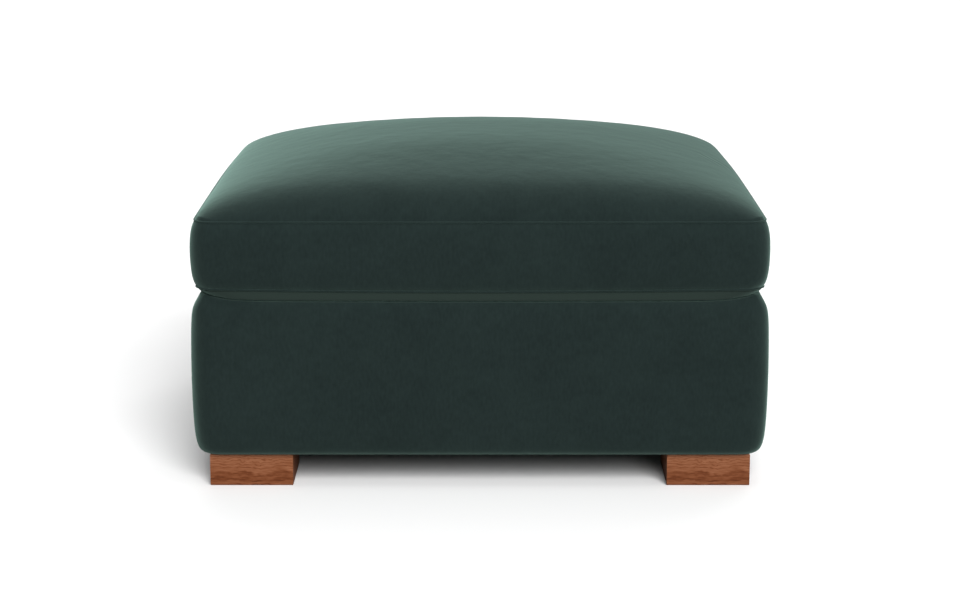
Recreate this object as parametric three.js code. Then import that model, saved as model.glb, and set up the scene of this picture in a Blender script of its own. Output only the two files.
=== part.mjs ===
// A rectangular upholstered ottoman: a crowned box cushion, sewn with a raised seam
// round its top and another round its bottom, rests on an upholstered box that stands
// on four low wooden block feet. Millimetres, +Z up, the front looks along -Y. The
// origin is on the floor, under the middle.
import * as THREE from "three";
import { ParametricGeometry } from "three/addons/geometries/ParametricGeometry.js";

// Driving sizes
const WIDE = 884; // across the upholstered box at its fullest, along X
const DEEP = 783; // the same from front to back, along Y
const DECK_HIGH = 300; // top of the box, where the cushion lies
const EDGE_RISE = 61; // rise of the cloth from the top seam to the cushion's broad top
const DOME_RISE = 26.5; // what the middle of the cushion swells over that
const CORNER = 36; // plan radius of the upright corners at their fullest
const SWELL = 3; // how far each upright side swells out between its corners
const TUCK = 8.2; // how far the cushion sinks into the box's rim between its corners
const SIDE_TUCK = 0.2; // share of that under the left and right sides
const DROOP = 3.6; // how far the bottom seam hangs lower in the middle of a side
const BACK_TAPER = 8; // how much each side of the top seam closes in at the back
const REST_GAP = 0.3; // between pieces that lie on each other
const FOOT = {
  wide: 127,
  deep: 120,
  high: 50,
  sideInset: 28.5,
  endInset: 24.5,
  easing: 1.5,
};

// The crown is the sum of two rises, and each falls to nothing at the seam: the power
// of the fall along each axis, and the exponent on what is left, which makes the cloth
// rise steeply from its seam where it is below 1.
const EDGE_FALL = { x: 3.2, y: 9, bendX: 0.56, bendY: 0.7 };
const DOME_FALL = { x: 2, y: 3.3, bendX: 1.8, bendY: 3.8 };

// Mesh density
const SIDE_STEPS = 8; // from the middle of a side to its corner
const ARC_STEPS = 5; // round a corner
const TOP_STEPS = 14; // from the top seam to the middle of the cushion

// The box: height over its underside, how far the row stands in from the fullest line,
// its shares of the tuck and the droop, and how much more it stands in at the corners
// and along the left and right sides.
const BOX_ROWS = [
  { up: 0, inset: 22 },
  { up: 1.2, inset: 17 },
  { up: 3.2, inset: 13 },
  { up: 6, inset: 10 },
  { up: 10, inset: 8 },
  { up: 17, inset: 5.6 },
  { up: 30, inset: 3.2 },
  { up: 55, inset: 1.4 },
  { up: 95, inset: 0.2 },
  { up: 135, inset: 0 },
  { up: 168, inset: 0.4, tuck: 0.04, droop: 0.1 },
  { up: 196, inset: 1.2, tuck: 0.2, droop: 0.2 },
  { up: 219, inset: 2.8, tuck: 0.52, droop: 0.2 },
  { up: 229, inset: 4, tuck: 0.72, droop: 0.2, pinch: 1.2 },
  { up: 234, inset: 5, tuck: 0.84, droop: 0.2, pinch: 2.8 },
  { up: 238.6, inset: 6.2, tuck: 0.92, droop: 0.2, pinch: 4.4 },
  { up: 243.2, inset: 7.6, tuck: 1, droop: 0.2, pinch: 6.3 },
  { up: 246.6, inset: 9, tuck: 1, droop: 0.2, pinch: 7.4 },
  { up: 248.8, inset: 10.6, tuck: 1, droop: 0.2, pinch: 7.8 },
  { up: 249.9, inset: 12.8, tuck: 1, droop: 0.2, pinch: 8.2 },
  { up: 250, inset: 17, tuck: 1, droop: 0.2, pinch: 9 },
  { up: 250, inset: 31, tuck: 0.9, droop: 0.1 },
  { up: 250, inset: 45 },
];

// The cushion below its crown: height over the deck, and the same columns. Each seam is
// a raised ridge between two pulled-in rows.
const CUSHION_ROWS = [
  { up: 0, inset: 45 },
  { up: 1.6, inset: 31, tuck: 0.9, droop: 0.1 },
  { up: 1.2, inset: 17, tuck: 1, droop: 0.2, pinch: 9 },
  { up: 1.3, inset: 12.4, tuck: 1, droop: 0.2, pinch: 9.6 },
  { up: 2, inset: 11.2, tuck: 0.9, droop: 0.3, pinch: 9 },
  { up: 3.5, inset: 11.2, tuck: 0.68, droop: 0.5, pinch: 6.8 },
  { up: 5.2, inset: 11.6, tuck: 0.46, droop: 0.65, pinch: 4.6 },
  { up: 6.8, inset: 12.2, tuck: 0.28, droop: 0.8, pinch: 2.4 },
  { up: 8.2, inset: 12.6, tuck: 0.12, droop: 0.9, pinch: 0.8 },
  { up: 9.2, inset: 11, tuck: 0.05, droop: 0.95 },
  { up: 11, inset: 10.4, droop: 1 },
  { up: 12, inset: 11.4, droop: 0.95 },
  { up: 16, inset: 8.6, droop: 0.8 },
  { up: 24, inset: 6.2, droop: 0.6 },
  { up: 37, inset: 4, droop: 0.3 },
  { up: 58, inset: 2.8 },
  { up: 78, inset: 3 },
  { up: 92, inset: 4.4 },
  { up: 102, inset: 6.8 },
  { up: 108.6, inset: 9.4 },
  { up: 110, inset: 10.8 },
  { up: 111, inset: 9.6 },
  { up: 112.8, inset: 10.4 },
  { up: 113.6, inset: 14.2 },
];

const TOP_SEAM = CUSHION_ROWS[CUSHION_ROWS.length - 1];
const SWELL_DEPTH = 22; // rows that stand in this far or more don't swell
const TUCK_POWER = 12; // how close to a corner the tuck ends
const PINCH = { from: 0.93, power: 20 }; // where the pinch is whole, and how it fades

const QUARTER_STEPS = 2 * SIDE_STEPS + ARC_STEPS;
const RING_STEPS = 4 * QUARTER_STEPS;

// A point of the first quarter of a rounded rectangle, from the middle of its +X side
// (step 0) round the corner to the middle of its +Y side (step QUARTER_STEPS).
function quarterPoint(step, halfWide, halfDeep, radius) {
  const cornerX = halfWide - radius;
  const cornerY = halfDeep - radius;
  if (step <= SIDE_STEPS) {
    return [halfWide, (cornerY * step) / SIDE_STEPS];
  }
  if (step >= SIDE_STEPS + ARC_STEPS) {
    return [(cornerX * (QUARTER_STEPS - step)) / SIDE_STEPS, halfDeep];
  }
  const turn = ((step - SIDE_STEPS) / ARC_STEPS) * (Math.PI / 2);
  return [cornerX + radius * Math.cos(turn), cornerY + radius * Math.sin(turn)];
}

// The plan outline at a given inset, anticlockwise from above, one turn for
// RING_STEPS steps. Its sides swell a little between the corners.
function outlinePoint(step, inset) {
  const quarter = Math.floor(step / QUARTER_STEPS) % 4;
  const along = step % QUARTER_STEPS;
  const halfWide = WIDE / 2 - inset;
  const halfDeep = DEEP / 2 - inset;
  const [x, y] = quarterPoint(
    quarter % 2 === 1 ? QUARTER_STEPS - along : along,
    halfWide,
    halfDeep,
    CORNER - inset / 2,
  );
  const swell = SWELL * Math.max(1 - inset / SWELL_DEPTH, 0);
  const signX = quarter === 0 || quarter === 3 ? 1 : -1;
  const signY = quarter < 2 ? 1 : -1;
  return [
    signX * (x - swell * (y / halfDeep) ** 2 * (x / halfWide)),
    signY * (y - swell * (x / halfWide) ** 2 * (y / halfDeep)),
  ];
}

// How near a step is to the middle of its corner: 0 half-way along a side, 1 there.
function cornerShare(step) {
  const away = Math.abs((step % QUARTER_STEPS) - QUARTER_STEPS / 2);
  const arc = ARC_STEPS / 2;
  const arcShare = (2 * CORNER) / (WIDE / 2 + DEEP / 2);
  if (away <= arc) {
    return 1 - (arcShare * away) / arc;
  }
  return (1 - arcShare) * (1 - (away - arc) / SIDE_STEPS);
}

// Whether a step lies on the left or right side, up to the middles of its corners.
function onEnd(step) {
  const quarter = Math.floor(step / QUARTER_STEPS) % 4;
  const firstHalf = step % QUARTER_STEPS < QUARTER_STEPS / 2;
  return firstHalf === (quarter % 2 === 0);
}

// A row's inset and height at a step.
function rowAt(row, step) {
  const { up, inset, tuck = 0, droop = 0, pinch = 0 } = row;
  const near = cornerShare(step);
  const end = onEnd(step);
  const pinched = end ? 1 : Math.min(near / PINCH.from, 1) ** PINCH.power;
  const depth = TUCK * tuck * (end ? SIDE_TUCK : 1);
  return {
    inset: inset + pinch * pinched,
    height: up - depth * (1 - near ** TUCK_POWER) - DROOP * droop * (1 - near ** 2),
  };
}

function crownHeight(x, y) {
  const acrossX = Math.min(Math.abs(x) / (WIDE / 2 - TOP_SEAM.inset), 1);
  const acrossY = Math.min(Math.abs(y) / (DEEP / 2 - TOP_SEAM.inset), 1);
  const share = (fall) =>
    (1 - acrossX ** fall.x) ** fall.bendX * (1 - acrossY ** fall.y) ** fall.bendY;
  return EDGE_RISE * share(EDGE_FALL) + DOME_RISE * share(DOME_FALL);
}

// A closed body of stacked rings. A ring is a row's outline drawn in to a share of
// itself, from 1 at the rim to 0 at the middle, and placeAt sets the point from the
// row's height.
function ringBody(rings, placeAt) {
  const last = rings.length - 1;
  const surface = (u, v, target) => {
    const ring = rings[Math.round(v * last)];
    const step = Math.round(u * RING_STEPS) % RING_STEPS;
    const { inset, height } = rowAt(ring.row, step);
    const [rimX, rimY] = outlinePoint(step, inset);
    placeAt(ring, rimX * ring.share, rimY * ring.share, height, target);
  };
  return new ParametricGeometry(surface, RING_STEPS, last);
}

function rowRings(rows) {
  return rows.map((row) => ({ row, share: 1 }));
}

function boxGeometry() {
  const rings = [
    { row: BOX_ROWS[0], share: 0 },
    ...rowRings(BOX_ROWS),
    { row: BOX_ROWS[BOX_ROWS.length - 1], share: 0 },
  ];
  return ringBody(rings, (ring, x, y, height, target) => {
    target.set(x, y, FOOT.high + height);
  });
}

function cushionGeometry() {
  // The rings of the crown crowd towards the seam, where the cloth turns most.
  const crownRings = Array.from({ length: TOP_STEPS }, (_, i) => ({
    row: TOP_SEAM,
    share: 1 - ((i + 1) / TOP_STEPS) ** 1.8,
    crowned: true,
  }));
  const rings = [
    { row: CUSHION_ROWS[0], share: 0 },
    ...rowRings(CUSHION_ROWS),
    ...crownRings,
  ];
  return ringBody(rings, (ring, x, y, height, target) => {
    const crown = ring.crowned ? crownHeight(x, y) : 0;
    const risen = ring.row.up / TOP_SEAM.up;
    const taper = BACK_TAPER * risen * (Math.max(y, 0) / (DEEP / 2)) ** 2;
    target.set(
      x * (1 - taper / (WIDE / 2)),
      y,
      DECK_HIGH + REST_GAP + height + crown,
    );
  });
}

// A solid block of wood with its edges eased.
function footGeometry() {
  const { wide, deep, easing } = FOOT;
  const high = FOOT.high - REST_GAP;
  const halfX = wide / 2 - easing;
  const halfY = deep / 2 - easing;
  const outline = new THREE.Shape();
  outline.moveTo(-halfX, -halfY);
  outline.lineTo(halfX, -halfY);
  outline.lineTo(halfX, halfY);
  outline.lineTo(-halfX, halfY);
  outline.closePath();
  const block = new THREE.ExtrudeGeometry(outline, {
    depth: high - 2 * easing,
    bevelEnabled: true,
    bevelThickness: easing,
    bevelSize: easing,
    bevelSegments: 2,
  });
  block.translate(0, 0, easing);
  return block;
}

const velvet = new THREE.MeshStandardMaterial({
  color: 0x2c3f38,
  roughness: 0.9,
  metalness: 0,
});
const wood = new THREE.MeshStandardMaterial({
  color: 0x965f3c,
  roughness: 0.5,
  metalness: 0,
});

function piece(name, geometry, material) {
  const mesh = new THREE.Mesh(geometry, material);
  mesh.name = name;
  return mesh;
}

function foot(endName, endSide, sideName, side) {
  const mesh = piece(`foot_${endName}_${sideName}`, footGeometry(), wood);
  mesh.position.set(
    side * (WIDE / 2 - FOOT.sideInset - FOOT.wide / 2),
    endSide * (DEEP / 2 - FOOT.endInset - FOOT.deep / 2),
    0,
  );
  return mesh;
}

const ottoman = new THREE.Group();
ottoman.add(piece("cushion", cushionGeometry(), velvet));
ottoman.add(piece("box", boxGeometry(), velvet));
ottoman.add(foot("front", -1, "left", -1));
ottoman.add(foot("front", -1, "right", 1));
ottoman.add(foot("back", 1, "left", -1));
ottoman.add(foot("back", 1, "right", 1));

export default ottoman;
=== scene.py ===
import math

import bpy
import numpy as np
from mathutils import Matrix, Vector


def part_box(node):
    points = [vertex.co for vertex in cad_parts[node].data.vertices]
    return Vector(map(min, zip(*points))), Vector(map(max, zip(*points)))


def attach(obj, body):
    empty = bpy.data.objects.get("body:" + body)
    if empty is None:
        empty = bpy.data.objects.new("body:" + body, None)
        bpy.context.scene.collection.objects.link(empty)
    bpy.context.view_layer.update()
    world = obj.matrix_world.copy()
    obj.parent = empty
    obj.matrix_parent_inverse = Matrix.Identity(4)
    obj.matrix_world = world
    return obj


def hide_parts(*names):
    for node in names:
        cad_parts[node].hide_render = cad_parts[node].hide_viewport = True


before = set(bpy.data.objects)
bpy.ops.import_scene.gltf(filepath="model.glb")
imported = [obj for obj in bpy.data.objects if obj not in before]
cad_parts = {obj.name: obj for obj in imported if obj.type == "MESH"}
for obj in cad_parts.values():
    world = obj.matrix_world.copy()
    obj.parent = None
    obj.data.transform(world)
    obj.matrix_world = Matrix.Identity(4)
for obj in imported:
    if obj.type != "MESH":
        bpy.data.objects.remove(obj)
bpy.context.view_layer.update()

# A velvet ottoman: a crowned box cushion with two raised seams on an upholstered box
# with four wooden block feet. Metres, +Z up, the front looks along -Y.

MM = 0.001

# Driving sizes, from the frame
BOX_LOW, BOX_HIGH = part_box("box")
HALF_WIDE = BOX_HIGH.x
HALF_DEEP = BOX_HIGH.y
UNDERSIDE = BOX_LOW.z
DECK = BOX_HIGH.z
CUSHION_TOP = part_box("cushion")[1].z

# Shape of the upholstery
CORNER = 36 * MM  # plan radius of the upright corners at their fullest
SWELL = 3 * MM  # how far each upright side swells out between its corners
SWELL_DEPTH = 22 * MM  # rows that stand in this far or more don't swell
TUCK = 8.2 * MM  # how far the cushion sinks into the box's rim between its corners
SIDE_TUCK = 0.2  # share of that under the left and right sides
DROOP = 3.6 * MM  # how far the bottom seam hangs lower in the middle of a side
TUCK_POWER = 12  # how close to a corner the tuck ends
PINCH_FROM, PINCH_POWER = 0.93, 20  # where the pinch is whole, and how it fades
BACK_TAPER = 8 * MM  # how much each side of the top seam closes in at the back
REST_GAP = 0.3 * MM  # between the cushion and the box

# The crown is the sum of two rises, and each falls to nothing at the seam: the power
# of its fall along X and along Y, and the two exponents on what is left.
DOME_RISE = 26.5 * MM  # what the middle of the cushion swells over the rest
EDGE_FALL = (3.2, 9, 0.56, 0.7)
DOME_FALL = (2, 3.3, 1.8, 3.8)

# The box, row by row: millimetres up from its underside and in from its fullest line,
# the shares of the tuck and the droop, and how many millimetres more it stands in at
# the corners and along the left and right sides.
BOX_ROWS = [
    (0, 22, 0, 0, 0),
    (1.2, 17, 0, 0, 0),
    (3.2, 13, 0, 0, 0),
    (6, 10, 0, 0, 0),
    (10, 7.6, 0, 0, 0),
    (17, 5.2, 0, 0, 0),
    (28, 3, 0, 0, 0),
    (44, 1.6, 0, 0, 0),
    (64, 0.6, 0, 0, 0),
    (88, 0, 0, 0, 0),
    (114, -0.4, 0, 0, 0),
    (140, -0.4, 0, 0, 0),
    (164, 0, 0.03, 0.1, 0),
    (184, 0.5, 0.12, 0.2, 0),
    (203, 1.2, 0.3, 0.2, 0),
    (219, 2.5, 0.52, 0.2, 0),
    (229, 3.7, 0.72, 0.2, 1.2),
    (234, 4.7, 0.84, 0.2, 2.8),
    (238.6, 5.9, 0.92, 0.2, 4.4),
    (243.2, 7.3, 1, 0.2, 6.3),
    (246.6, 8.7, 1, 0.2, 7.4),
    (248.8, 10.3, 1, 0.2, 7.8),
    (249.9, 12.5, 1, 0.2, 8.2),
    (250, 17, 1, 0.2, 9),
    (250, 31, 0.9, 0.1, 0),
    (250, 45, 0, 0, 0),
]

# The cushion below its crown, up from the deck. It is pinched in where each seam runs.
BOTTOM_SEAM_ROW = (10.1, 12.7, 0, 1, 0)
TOP_SEAM_ROW = (112, 12.2, 0, 0, 0)
CUSHION_ROWS = [
    (0, 45, 0, 0, 0),
    (0.8, 31, 0.9, 0.1, 0),
    (0.7, 17, 1, 0.2, 9),
    (1, 12.2, 1, 0.2, 9.6),
    (1.8, 11, 0.9, 0.3, 9),
    (3.5, 11, 0.68, 0.5, 6.8),
    (5.2, 11.4, 0.46, 0.65, 4.6),
    (6.8, 12, 0.28, 0.8, 2.4),
    (8.2, 12.4, 0.12, 0.9, 0.8),
    BOTTOM_SEAM_ROW,
    (12.4, 10.4, 0, 0.9, 0),
    (17, 7.6, 0, 0.8, 0),
    (25, 5.2, 0, 0.6, 0),
    (36, 3.4, 0, 0.3, 0),
    (49, 2.4, 0, 0.1, 0),
    (63, 2, 0, 0, 0),
    (78, 2.3, 0, 0, 0),
    (91, 3.6, 0, 0, 0),
    (101.5, 6, 0, 0, 0),
    (109, 9.4, 0, 0, 0),
    TOP_SEAM_ROW,
    (113.6, 14.2, 0, 0, 0),
]

# The grid of each cover: its cuts in from the rim in millimetres, and the pitch of the
# cuts between them
BOX_RIM, BOX_PITCH = (3, 7, 12, 18, 26, 36), 18
CUSHION_RIM, CUSHION_PITCH = (1.2, 3, 6, 10.5, 17, 25, 36), 13
SMOOTH_LEVELS = 1


def only(piece):
    """Selects one object alone and makes it the active one."""
    bpy.ops.object.select_all(action="DESELECT")
    piece.select_set(True)
    bpy.context.view_layer.objects.active = piece


def points(piece):
    """The points of a mesh as an array of rows x, y, z."""
    flat = np.empty(len(piece.data.vertices) * 3)
    piece.data.vertices.foreach_get("co", flat)
    return flat.reshape(-1, 3)


def move_points(piece, places):
    piece.data.vertices.foreach_set("co", np.asarray(places).ravel())
    piece.data.update()


# Blocks cut into a grid

def cuts_from_rim(half, rim, pitch):
    """Shares of a half width, crowded at the rim and then about a pitch apart."""
    rim_steps = [step * MM for step in rim]
    inner = half - rim_steps[-1]
    count = round(inner / (pitch * MM))
    shares = [1 - step / half for step in rim_steps]
    shares += [inner / half * i / count for i in range(count)]
    return sorted({round(sign * share, 6) for share in shares for sign in (1, -1)})


def row_cuts(rows):
    """The planes between the block's bottom and top, one for each inner row."""
    last = len(rows) - 1
    return [2 * i / last - 1 for i in range(1, last)]


def cut_block(name, rim, pitch, rows):
    """A block from -1 to 1 each way, bisected by planes into a grid of quads."""
    bpy.ops.object.select_all(action="DESELECT")
    bpy.ops.mesh.primitive_cube_add(size=2)
    block = bpy.context.object
    block.name = name
    bpy.ops.object.mode_set(mode="EDIT")
    all_cuts = (
        cuts_from_rim(HALF_WIDE, rim, pitch),
        cuts_from_rim(HALF_DEEP, rim, pitch),
        row_cuts(rows),
    )
    for axis, cuts in enumerate(all_cuts):
        normal = Vector([float(axis == i) for i in range(3)])
        for cut in cuts:
            bpy.ops.mesh.select_all(action="SELECT")
            bpy.ops.mesh.bisect(plane_co=cut * normal, plane_no=normal)
    bpy.ops.object.mode_set(mode="OBJECT")
    return block


# The form of the upholstery

def outline(across, along, inset):
    """The plan outline that stands in by inset, for points on a square's border."""
    half_wide = HALF_WIDE - inset
    half_deep = HALF_DEEP - inset
    radius = CORNER - inset / 2
    x = np.abs(across) * half_wide
    y = np.abs(along) * half_deep
    over_x = np.maximum(x - (half_wide - radius), 0) / radius
    over_y = np.maximum(y - (half_deep - radius), 0) / radius
    turn = np.where(over_x >= over_y, over_y, 2 - over_x) * math.pi / 4
    in_corner = (over_x > 0) & (over_y > 0)
    x = np.where(in_corner, half_wide - radius + radius * np.cos(turn), x)
    y = np.where(in_corner, half_deep - radius + radius * np.sin(turn), y)
    swell = SWELL * np.maximum(1 - inset / SWELL_DEPTH, 0)
    share_x = x / half_wide
    share_y = y / half_deep
    return (
        np.sign(across) * (x - swell * share_y**2 * share_x),
        np.sign(along) * (y - swell * share_x**2 * share_y),
    )


def placed(row, across, along, out=0.0):
    """The x, y and height of a row's points, which lie on a square's border."""
    up, inset, tuck, droop, pinch = row
    near_corner = np.abs(across * along)
    on_end = np.abs(across) > np.abs(along)
    pinched = np.minimum(near_corner / PINCH_FROM, 1) ** PINCH_POWER
    pinched = np.where(on_end, 1, pinched)
    x, y = outline(across, along, (inset + pinch * pinched) * MM - out)
    depth = TUCK * tuck * np.where(on_end, SIDE_TUCK, 1)
    sunk = depth * (1 - near_corner**TUCK_POWER) + DROOP * droop * (1 - near_corner**2)
    return x, y, up * MM - sunk


def taper(x, y, height):
    """The x of a cushion's point, closed in towards the back as it rises."""
    risen = height / (CUSHION_ROWS[-1][0] * MM)
    closed = BACK_TAPER * risen * (np.maximum(y, 0) / HALF_DEEP) ** 2
    return x * (1 - closed / HALF_WIDE)


def crown_height(x, y):
    """How far the crown stands over the last row."""
    up, inset = CUSHION_ROWS[-1][:2]
    edge_rise = CUSHION_TOP - DECK - REST_GAP - up * MM - DOME_RISE
    across = np.minimum(np.abs(x) / (HALF_WIDE - inset * MM), 1)
    along = np.minimum(np.abs(y) / (HALF_DEEP - inset * MM), 1)
    height = 0
    for rise, fall in ((edge_rise, EDGE_FALL), (DOME_RISE, DOME_FALL)):
        power_x, power_y, bend_x, bend_y = fall
        share = (1 - across**power_x) ** bend_x * (1 - along**power_y) ** bend_y
        height = height + rise * share
    return height


def stacked_rows(block, rows):
    """The block's points on the outlines of the rows: x, y, height and row number."""
    across, along, level = points(block).T
    share = np.maximum(np.abs(across), np.abs(along))
    border = np.maximum(share, 1e-9)
    number = (level + 1) / 2 * (len(rows) - 1)
    row = [np.interp(number, range(len(rows)), column) for column in zip(*rows)]
    x, y, height = placed(row, across / border, along / border)
    return x * share, y * share, height, number


# Filling. The cover is filled like a bag: its cloth is cut larger by a share, slack,
# and swells under pressure. The seams stay, and the filling holds the cloth between
# them. The real cushion lies smooth, so only a share of the waves is kept.
CLOTH = {
    "quality": 4,
    "mass": 0.3,
    "tension_stiffness": 40,
    "compression_stiffness": 40,
    "shear_stiffness": 20,
    "bending_stiffness": 5,
    "use_pressure": True,
    "uniform_pressure_force": 0.3,
    "shrink_min": -0.006,  # minus the slack
}
BY_FILLING = 0.3  # how firmly the filling holds the cloth between the seams
LAST_FRAME = 20
PUFF_SHARE = 0.1  # share of the simulated move that is kept
MOST_PUFF = 0.8 * MM  # the most that filling moves a point of the cloth


def puff_up(cover, held):
    """Fills a cover by a cloth simulation, while the points that are held stay."""
    only(cover)
    start = points(cover)
    group = cover.vertex_groups.new(name="held")
    for chosen, hold in ((held, 1), (~held, BY_FILLING)):
        group.add([int(i) for i in np.flatnonzero(chosen)], hold, "REPLACE")
    cloth = cover.modifiers.new("cloth", "CLOTH")
    for setting, value in CLOTH.items():
        setattr(cloth.settings, setting, value)
    cloth.settings.vertex_group_mass = group.name
    cloth.settings.effector_weights.gravity = 0
    cloth.collision_settings.use_collision = False
    cloth.point_cache.frame_start = 1
    cloth.point_cache.frame_end = LAST_FRAME
    for number in range(1, LAST_FRAME + 1):
        bpy.context.scene.frame_set(number)
    bpy.ops.object.modifier_apply(modifier=cloth.name)
    bpy.context.scene.frame_set(1)
    moved = (points(cover) - start) * PUFF_SHARE
    far = np.linalg.norm(moved, axis=1, keepdims=True)
    move_points(cover, start + moved * MOST_PUFF / np.maximum(far, MOST_PUFF))


def finish_cloth(piece):
    """Subdivides the cloth smooth, unwraps it by its faces' directions, shades it."""
    only(piece)
    smooth = piece.modifiers.new("smooth", "SUBSURF")
    smooth.levels = SMOOTH_LEVELS
    smooth.render_levels = SMOOTH_LEVELS
    bpy.ops.object.modifier_apply(modifier=smooth.name)
    bpy.ops.object.mode_set(mode="EDIT")
    bpy.ops.mesh.select_all(action="SELECT")
    bpy.ops.uv.cube_project(cube_size=1, scale_to_bounds=False)
    bpy.ops.object.mode_set(mode="OBJECT")
    bpy.ops.object.shade_smooth()


def make_box_cover():
    cover = cut_block("box_cover", BOX_RIM, BOX_PITCH, BOX_ROWS)
    x, y, height, _ = stacked_rows(cover, BOX_ROWS)
    move_points(cover, np.column_stack([x, y, UNDERSIDE + height]))
    finish_cloth(cover)
    return cover


def make_cushion_cover():
    """The cushion's cover, filled. An attribute marks the strip between the box and the
    bottom seam with 1; the velvet is painted a lighter green there, a painted sheen."""
    cover = cut_block("cushion_cover", CUSHION_RIM, CUSHION_PITCH, CUSHION_ROWS)
    x, y, height, number = stacked_rows(cover, CUSHION_ROWS)
    on_crown = number > len(CUSHION_ROWS) - 1.5
    crown = np.where(on_crown, crown_height(x, y), 0)
    level = DECK + REST_GAP + height + crown
    move_points(cover, np.column_stack([taper(x, y, height), y, level]))

    bottom_seam = CUSHION_ROWS.index(BOTTOM_SEAM_ROW)
    top_seam = CUSHION_ROWS.index(TOP_SEAM_ROW)
    held = (number < bottom_seam + 0.5) | (np.abs(number - top_seam) < 0.5)
    puff_up(cover, held)

    # Marks the strip below the bottom seam, which the velvet paints a lighter green:
    # painted sheen.
    painted_sheen_strip = cover.data.attributes.new("painted_sheen_strip", "FLOAT", "POINT")
    on_strip = (number > 2.5) & (number < bottom_seam - 0.5)
    painted_sheen_strip.data.foreach_set("value", np.where(on_strip, 1.0, 0.0))
    finish_cloth(cover)
    return cover


# Seams

RIDGE_STEPS = 520  # round the whole seam
RIDGE_RADIUS = 1.4 * MM
RIDGE_OUT = 1.2 * MM  # how far its middle stands out from the pinched row


def seam_line(row, count, out):
    """Points round a seam, moved out from the cushion's row by metres."""
    turn = np.linspace(0, 4, count, endpoint=False)
    side = np.floor(turn).astype(int)
    run = 2 * (turn - side) - 1
    across = np.choose(side, [np.ones(count), -run, -np.ones(count), run])
    along = np.choose(side, [run, np.ones(count), -run, -np.ones(count)])
    x, y, height = placed(row, across, along, out)
    return np.column_stack([taper(x, y, height), y, DECK + REST_GAP + height])


def make_ridge(name, row):
    """A raised seam: a ring along the pinched row, given a round section."""
    bpy.ops.object.select_all(action="DESELECT")
    bpy.ops.mesh.primitive_circle_add(vertices=RIDGE_STEPS, radius=HALF_WIDE)
    ridge = bpy.context.object
    ridge.name = name
    move_points(ridge, seam_line(row, RIDGE_STEPS, RIDGE_OUT))
    bpy.ops.object.convert(target="CURVE")
    ridge = bpy.context.object
    ridge.data.bevel_depth = RIDGE_RADIUS
    ridge.data.bevel_resolution = 2
    bpy.ops.object.convert(target="MESH")
    ridge = bpy.context.object
    bpy.ops.object.shade_smooth()
    return ridge


# Materials

class Surface:
    """A new material. Each method below adds a node and gives what comes out of it."""

    def __init__(self, name):
        self.material = bpy.data.materials.new(name)
        self.material.use_nodes = True
        self.nodes = self.material.node_tree.nodes
        self.links = self.material.node_tree.links
        self.shader = self.nodes["Principled BSDF"]

    def node(self, kind):
        return self.nodes.new("ShaderNode" + kind)

    def join(self, output, node, socket):
        self.links.new(output, node.inputs[socket])

    def place(self, source):
        return self.node("TexCoord").outputs[source]

    def math(self, operation, first, second=None):
        node = self.node("Math")
        node.operation = operation
        for socket, value in zip(node.inputs, (first, second)):
            if isinstance(value, (int, float)):
                socket.default_value = value
            elif value is not None:
                self.links.new(value, socket)
        return node.outputs["Value"]

    def weighed(self, *parts):
        """The sum of outputs, each times its weight."""
        total = None
        for output, weight in parts:
            part = self.math("MULTIPLY", output, weight)
            total = part if total is None else self.math("ADD", total, part)
        return total

    def split(self, vector):
        node = self.node("SeparateXYZ")
        self.join(vector, node, "Vector")
        return [node.outputs[axis] for axis in "XYZ"]

    def combined(self, *values):
        node = self.node("CombineXYZ")
        for socket, value in zip(node.inputs, values):
            if value is not None:
                self.links.new(value, socket)
        return node.outputs["Vector"]

    def noise(self, vector, scale, detail, stretch=(1, 1, 1)):
        mapping = self.node("Mapping")
        mapping.inputs["Scale"].default_value = stretch
        self.join(vector, mapping, "Vector")
        texture = self.node("TexNoise")
        texture.inputs["Scale"].default_value = scale
        texture.inputs["Detail"].default_value = detail
        self.join(mapping.outputs["Vector"], texture, "Vector")
        return texture.outputs["Fac"]

    def ramp(self, value, stops):
        """A colour for each value: stops are positions, each with its colour."""
        node = self.node("ValToRGB")
        elements = node.color_ramp.elements
        for element, stop in ((elements[0], stops[0]), (elements[1], stops[-1])):
            element.position, element.color = stop
        for position, colour in stops[1:-1]:
            elements.new(position).color = colour
        self.join(value, node, "Fac")
        return node.outputs["Color"]

    def mix(self, share, second, first=None):
        """Blends to the second colour. The first may be set or joined afterwards."""
        node = self.node("Mix")
        node.data_type = "RGBA"
        node.inputs["B"].default_value = second
        self.join(share, node, "Factor")
        if isinstance(first, tuple):
            node.inputs["A"].default_value = first
        else:
            self.join(first, node, "A")
        return node.outputs["Result"]

    def paint(self, colour):
        self.join(colour, self.shader, "Base Color")

    def relief(self, height, distance):
        node = self.node("Bump")
        node.inputs["Strength"].default_value = 1
        node.inputs["Distance"].default_value = distance
        self.join(height, node, "Height")
        self.join(node.outputs["Normal"], self.shader, "Normal")

    def finish(self, **values):
        """Sets values on the shader: a name's underscores stand for spaces."""
        for name, value in values.items():
            self.shader.inputs[name.replace("_", " ")].default_value = value


VELVET_DARK = (0.0050, 0.0105, 0.0100, 1)
VELVET_LIGHT = (0.0090, 0.0170, 0.0160, 1)
# A lighter green for the strip below the bottom seam: painted sheen.
VELVET_PAINTED_SHEEN = (0.0130, 0.0215, 0.0180, 1)
VELVET_TINT = (0.62, 1.0, 0.86, 1)
CLOUD_SCALE = 9  # broad, soft changes of tone
CRUSH_SCALE = 38  # small dents where the pile is crushed
COMBED = (240, 95, 1)  # short flecks, upright on the sides
PILE = (1300, 900, 1)

CREASE_PLACE = (0.397, 0.004, 0.436)
CREASE_TURN = math.radians(-56)  # the way they run, round from X
CREASE_REACH = (0.050, 0.045, 0.06)  # along them, across them and up
CREASE_TURNS = 14  # radians of their wave from the middle to the reach across
CREASE_WANDER = 6


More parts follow.
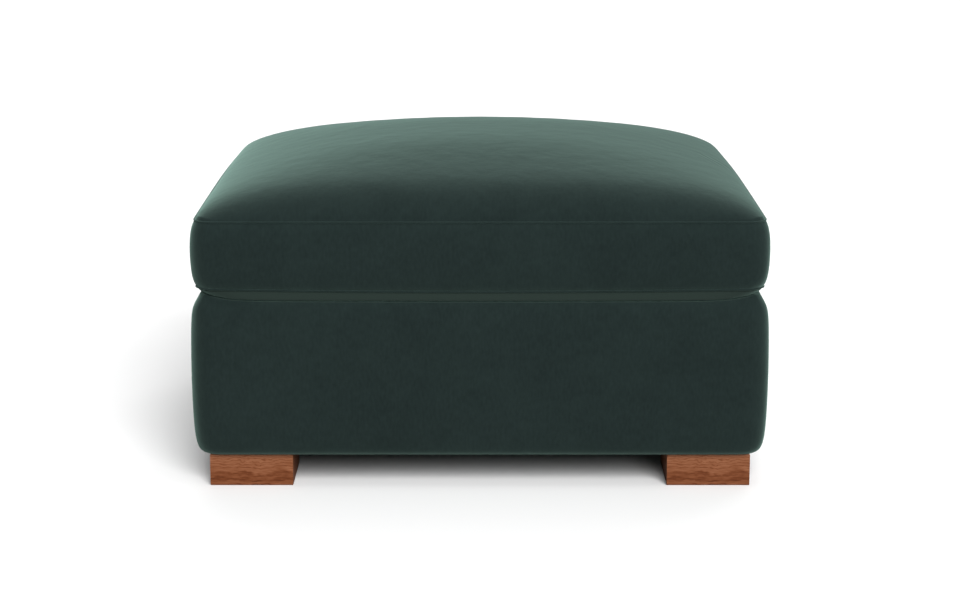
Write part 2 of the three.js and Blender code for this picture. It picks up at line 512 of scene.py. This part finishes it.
def velvet():
    """Short dark pile: duller face on, and paler where it is seen along the surface."""
    cloth = Surface("green_velvet")
    place, unwrapped = cloth.place("Object"), cloth.place("UV")
    clouds = cloth.noise(place, CLOUD_SCALE, 3)
    crushed = cloth.noise(place, CRUSH_SCALE, 4)
    combed = cloth.noise(unwrapped, 1, 2, COMBED)
    pile = cloth.noise(unwrapped, 1, 2, PILE)

    shade = cloth.weighed((clouds, 0.3), (crushed, 0.25), (combed, 0.45))
    colour = cloth.ramp(shade, [(0.34, VELVET_DARK), (0.66, VELVET_LIGHT)])
    # The strip below the bottom seam is painted a lighter green: painted sheen.
    painted_sheen_strip = cloth.node("Attribute")
    painted_sheen_strip.attribute_name = "painted_sheen_strip"
    cloth.paint(cloth.mix(painted_sheen_strip.outputs["Fac"], VELVET_PAINTED_SHEEN, colour))

    # A few fine creases pulled towards the right edge of the top
    local = cloth.node("Mapping")
    local.vector_type = "TEXTURE"
    local.inputs["Location"].default_value = CREASE_PLACE
    local.inputs["Rotation"].default_value = (0, 0, CREASE_TURN)
    local.inputs["Scale"].default_value = CREASE_REACH
    cloth.join(place, local, "Vector")
    near = cloth.node("TexGradient")
    near.gradient_type = "SPHERICAL"
    cloth.join(local.outputs["Vector"], near, "Vector")
    across = cloth.split(local.outputs["Vector"])[1]
    turns = cloth.weighed((across, CREASE_TURNS), (crushed, CREASE_WANDER))
    creases = cloth.math("MULTIPLY", cloth.math("SINE", turns), near.outputs["Fac"])

    cloth.relief(
        cloth.weighed((crushed, 1.0 * MM), (pile, 0.1 * MM), (creases, 1.2 * MM)), 1
    )
    cloth.finish(
        Roughness=0.95,
        Specular_IOR_Level=0.15,
        Sheen_Weight=0.3,
        Sheen_Roughness=0.45,
        Sheen_Tint=VELVET_TINT,
    )
    return cloth.material


WOOD_LINE = (0.050, 0.011, 0.002, 1)
WOOD_DARK = (0.107, 0.026, 0.005, 1)
WOOD_MIDDLE = (0.163, 0.0515, 0.018, 1)
WOOD_LIGHT = (0.235, 0.091, 0.042, 1)
WOOD_STOPS = [(0.05, WOOD_LINE), (0.27, WOOD_DARK), (0.54, WOOD_MIDDLE)]
WOOD_STOPS += [(0.85, WOOD_LIGHT)]
FOOT_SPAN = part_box("foot_back_right")[0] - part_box("foot_front_left")[0]
HEART_BEHIND = 30 * MM  # from the log's heart to the middle of the foot
HEART_HIGH = 14 * MM
RING_PITCH = 2.7 * MM
FOOT_MIDDLE = 25 * MM
WARP, WARP_REACH = (30, 50, 50), 22 * MM  # how the rings wander
RIPPLE, RIPPLE_REACH = (130, 200, 200), 4 * MM
PORES = (60, 700, 700)
DARKER_BELOW = 6  # how fast the tone falls from the top of the foot, for each metre


def wood():
    """Stained wood, sawn from one log for each foot: its rings run along X, lie flat in
    the upper half of the front and wander round knots in the lower half."""
    log = Surface("stained_wood")
    x, y, z = log.split(log.place("Object"))
    # The same cut on every foot: the place is taken from each foot's own middle.
    from_middle = []
    for value, span in ((x, FOOT_SPAN.x), (y, FOOT_SPAN.y)):
        turned = log.math("MODULO", log.math("ADD", value, span), span)
        from_middle.append(log.math("SUBTRACT", turned, span / 2))
    along, depth = from_middle
    local = log.combined(along, depth, z)

    def grain(detail, stretch):
        return log.math("SUBTRACT", log.noise(local, 1, detail, stretch), 0.5)

    warp, ripple, pores = grain(3, WARP), grain(2, RIPPLE), grain(2, PORES)
    height = log.math("ADD", z, log.math("MULTIPLY", warp, WARP_REACH))
    height = log.math("ADD", height, log.math("MULTIPLY", ripple, RIPPLE_REACH))
    from_heart = log.combined(
        None,
        log.math("ADD", depth, HEART_BEHIND),
        log.math("SUBTRACT", height, HEART_HIGH),
    )
    radius = log.node("VectorMath")
    radius.operation = "LENGTH"
    log.links.new(from_heart, radius.inputs[0])
    turns = log.math("MULTIPLY", radius.outputs["Value"], 2 * math.pi / RING_PITCH)
    wave = log.math("MULTIPLY", log.math("ADD", log.math("SINE", turns), 1), 0.5)
    rings = log.math("POWER", wave, 4)
    lift = log.math("SUBTRACT", z, FOOT_MIDDLE)
    tone = log.weighed((pores, 0.9), (rings, -0.3), (warp, 0.2), (lift, DARKER_BELOW))
    tone = log.math("ADD", tone, 0.655)

    log.paint(log.ramp(tone, WOOD_STOPS))
    log.relief(tone, 0.15 * MM)
    log.finish(Roughness=0.5, Specular_IOR_Level=0.2)
    return log.material


FLOOR_SEEN = (0.85, 0.85, 0.85, 1)
FLOOR_THROWN = (0.42, 0.42, 0.42, 1)


def plain_floor():
    """Pale to the camera, and darker where it throws light back on the ottoman."""
    floor = Surface("pale_floor")
    seen = floor.node("LightPath").outputs["Is Camera Ray"]
    floor.paint(floor.mix(seen, FLOOR_SEEN, FLOOR_THROWN))
    floor.finish(Roughness=0.9, Specular_IOR_Level=0)
    return floor.material


# Camera and light, from the photograph's view

FOCAL = 85
SENSOR = 36
PITCH = math.radians(12.617)
CAMERA_PLACE = (0.0, -3.70205, 1.03335)

# Broad lamps: name, strength, degrees round to the right from the front, degrees up
# and width in degrees
LAMPS = [
    ("front_lamp", 4.35, 14, 33, 36),
    ("right_lamp", 0.45, 60, 32, 40),
    ("back_lamp", 1.35, 172, 42, 60),
    ("top_lamp", 0.8, 0, 88, 50),
]
STUDIO_GLOW = 0.05
FLOOR_SIZE = 40


def make_camera():
    camera = bpy.data.objects.new("camera", bpy.data.cameras.new("camera"))
    camera.data.lens = FOCAL
    camera.data.sensor_width = SENSOR
    camera.location = CAMERA_PLACE
    camera.rotation_euler = (math.pi / 2 - PITCH, 0, 0)
    bpy.context.collection.objects.link(camera)
    bpy.context.scene.camera = camera


def make_sun(name, energy, turn, lift, spread):
    lamp = bpy.data.objects.new(name, bpy.data.lights.new(name, "SUN"))
    lamp.data.energy = energy
    lamp.data.angle = math.radians(spread)
    turn, lift = math.radians(turn), math.radians(lift)
    level = math.cos(lift)
    place = Vector((math.sin(turn) * level, -math.cos(turn) * level, math.sin(lift)))
    lamp.rotation_euler = (-place).to_track_quat("-Z", "Y").to_euler()
    bpy.context.collection.objects.link(lamp)


def make_stage():
    bpy.ops.object.select_all(action="DESELECT")
    bpy.ops.mesh.primitive_plane_add(size=FLOOR_SIZE)
    floor = bpy.context.object
    floor.name = "floor"
    floor.data.materials.append(plain_floor())
    world = bpy.data.worlds.new("studio")
    world.use_nodes = True
    background = world.node_tree.nodes["Background"]
    background.inputs["Color"].default_value = (1, 1, 1, 1)
    background.inputs["Strength"].default_value = STUDIO_GLOW
    bpy.context.scene.world = world
    for lamp in LAMPS:
        make_sun(*lamp)
    bpy.context.scene.view_settings.view_transform = "Standard"


def dress(piece, node, material):
    """Gives a piece its material and body, and hides the CAD node it takes over."""
    piece.data.materials.clear()
    piece.data.materials.append(material)
    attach(piece, "root")
    if node:
        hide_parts(node)


velvet_cloth = velvet()
box_cover = make_box_cover()
cushion_cover = make_cushion_cover()
dress(box_cover, "box", velvet_cloth)
dress(cushion_cover, "cushion", velvet_cloth)
dress(make_ridge("top_seam", TOP_SEAM_ROW), None, velvet_cloth)
dress(make_ridge("bottom_seam", BOTTOM_SEAM_ROW), None, velvet_cloth)

foot_wood = wood()
for name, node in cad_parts.items():
    if name.startswith("foot"):
        node.data.materials.clear()
        node.data.materials.append(foot_wood)

make_camera()
make_stage()
